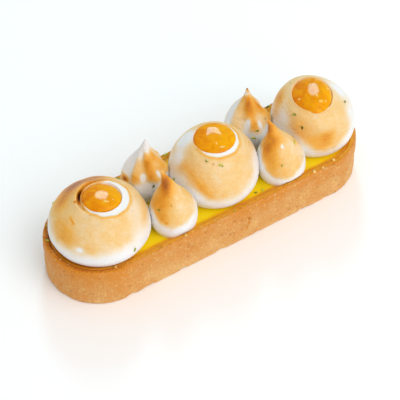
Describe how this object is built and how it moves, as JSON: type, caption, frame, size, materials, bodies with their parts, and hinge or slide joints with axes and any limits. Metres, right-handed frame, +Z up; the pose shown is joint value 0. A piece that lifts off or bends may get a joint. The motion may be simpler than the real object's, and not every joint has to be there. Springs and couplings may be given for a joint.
{
  "type": "lemon meringue tart",
  "caption": "Finger-shaped shortcrust tart filled with lemon curd, topped with round torched meringues holding lemon gel and with peaked meringue kisses.",
  "frame": {"origin": "centre of the underside of the pastry case, on the surface that it stands on", "axes": "+Z up, X along the tart, -Y towards the side that the picture shows"},
  "size_m": [0.1304, 0.0401, 0.0424],
  "materials": {
    "pastry": "matte baked shortcrust",
    "curd": "smooth satin curd",
    "meringue": "satin torched meringue",
    "gel": "wet glossy gel"
  },
  "bodies": {
    "root": {"crust": "pastry", "lemon_curd": "curd", "meringue_left": "meringue", "meringue_middle": "meringue", "meringue_right": "meringue", "gel_left": "gel", "gel_middle": "gel", "gel_right": "gel", "kiss_front_left": "meringue", "kiss_back_left": "meringue", "kiss_front_right": "meringue", "kiss_back_right": "meringue"}
  },
  "joints": []
}
